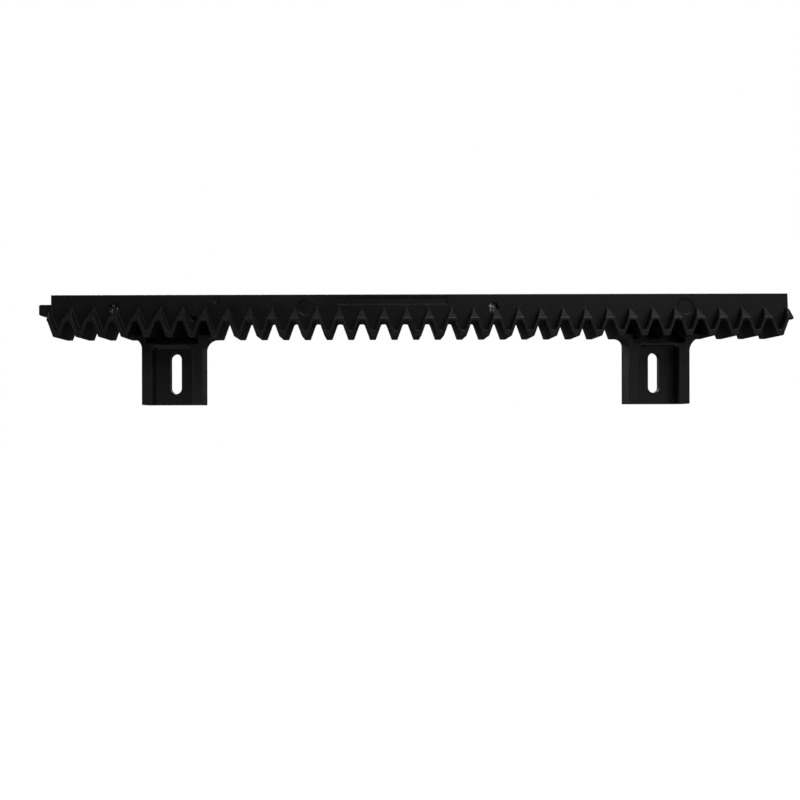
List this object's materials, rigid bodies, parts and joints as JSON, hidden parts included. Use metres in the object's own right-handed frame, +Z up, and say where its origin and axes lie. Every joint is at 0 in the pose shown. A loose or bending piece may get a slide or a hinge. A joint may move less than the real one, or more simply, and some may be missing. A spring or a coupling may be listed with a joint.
{
  "type": "gear rack section",
  "caption": "Straight nylon gear rack section with a steel core, downward cored teeth, slotted screw lugs, and a tongue and socket to join sections.",
  "frame": {"origin": "on the flat rear plane that lies against the gate, midway between the centres of the two upright screw slots", "axes": "+X along the rack from the tongue end to the socket end, +Y through the thickness towards the gate, +Z up and away from the tooth tips"},
  "size_m": [0.4227, 0.022, 0.062],
  "materials": {
    "nylon": "satin moulded black nylon with a fine texture",
    "steel": "bright zinc-plated square bar"
  },
  "bodies": {
    "root": {"rail_beam": "nylon", "teeth": "nylon", "tooth_webs": "nylon", "left_lug": "nylon", "right_lug": "nylon", "joining_tongue": "nylon", "steel_core": "steel"}
  },
  "joints": []
}
